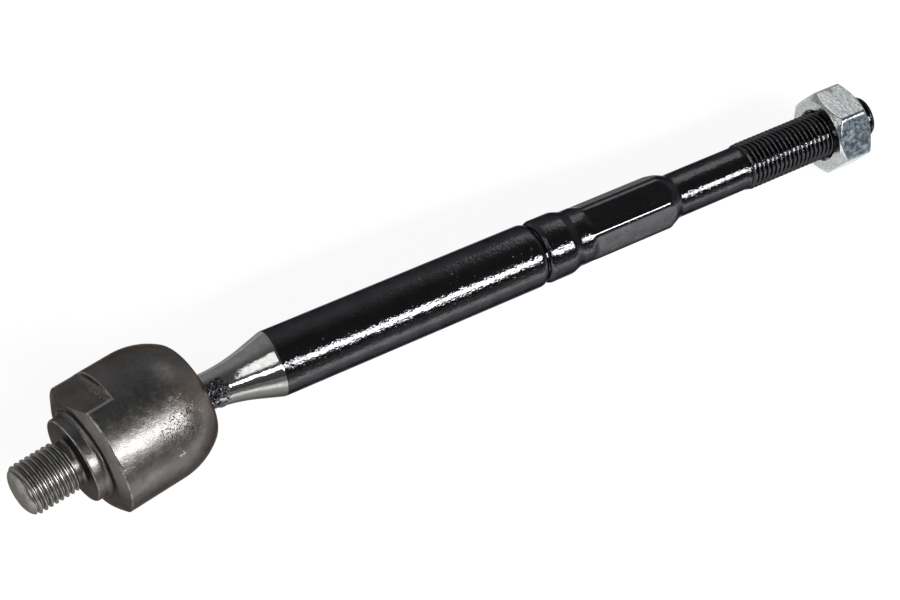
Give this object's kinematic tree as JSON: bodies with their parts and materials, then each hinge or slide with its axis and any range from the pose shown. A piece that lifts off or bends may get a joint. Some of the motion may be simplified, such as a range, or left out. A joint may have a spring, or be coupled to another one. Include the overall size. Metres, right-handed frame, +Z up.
{
  "type": "inner tie rod",
  "caption": "Steering inner tie rod: forged socket with a threaded stud and wrench flats, ball end in a plastic seat, painted rod with a hexagon, threaded outer end and jam nut.",
  "frame": {"origin": "Bottom centre of the bounding box, as the part lies on a table: the barrel and one flat of the jam nut touch Z = 0.", "axes": "+X runs along the tie rod from the socket to the threaded end, which slopes down to the nut by 1.8 degrees. +Z is up. The housing is swung by 10.2 degrees about the normal of the rod's plane."},
  "size_m": [0.2634, 0.0388, 0.0365],
  "materials": {
    "forged_steel": "bare forged and turned steel, dark and satin",
    "bearing_plastic": "moulded acetal, greased",
    "black_paint": "thick glossy black paint on steel",
    "zinc_plate": "zinc plated, slightly mottled"
  },
  "bodies": {
    "housing": {"socket_housing": "forged_steel"},
    "bearing": {"bearing_shell": "bearing_plastic"},
    "rod": {"tie_rod": "black_paint"},
    "nut": {"jam_nut": "zinc_plate"}
  },
  "joints": [
    {"name": "ball_spin", "type": "hinge", "parent": "housing", "child": "bearing", "pos_m": [-0.09471, 0.00123, 0.01809], "axis": [0.9837, 0.1771, -0.0316], "continuous": true},
    {"name": "ball_swing", "type": "hinge", "parent": "bearing", "child": "rod", "pos_m": [-0.09471, 0.00123, 0.01809], "axis": [0.0321, 0, 0.9995], "range_deg": [-10.8, 31.2]},
    {"name": "nut_travel", "type": "slide", "parent": "rod", "child": "nut", "axis": [0.9995, 0, -0.0321], "range_m": [-0.026, 0.005]}
  ]
}
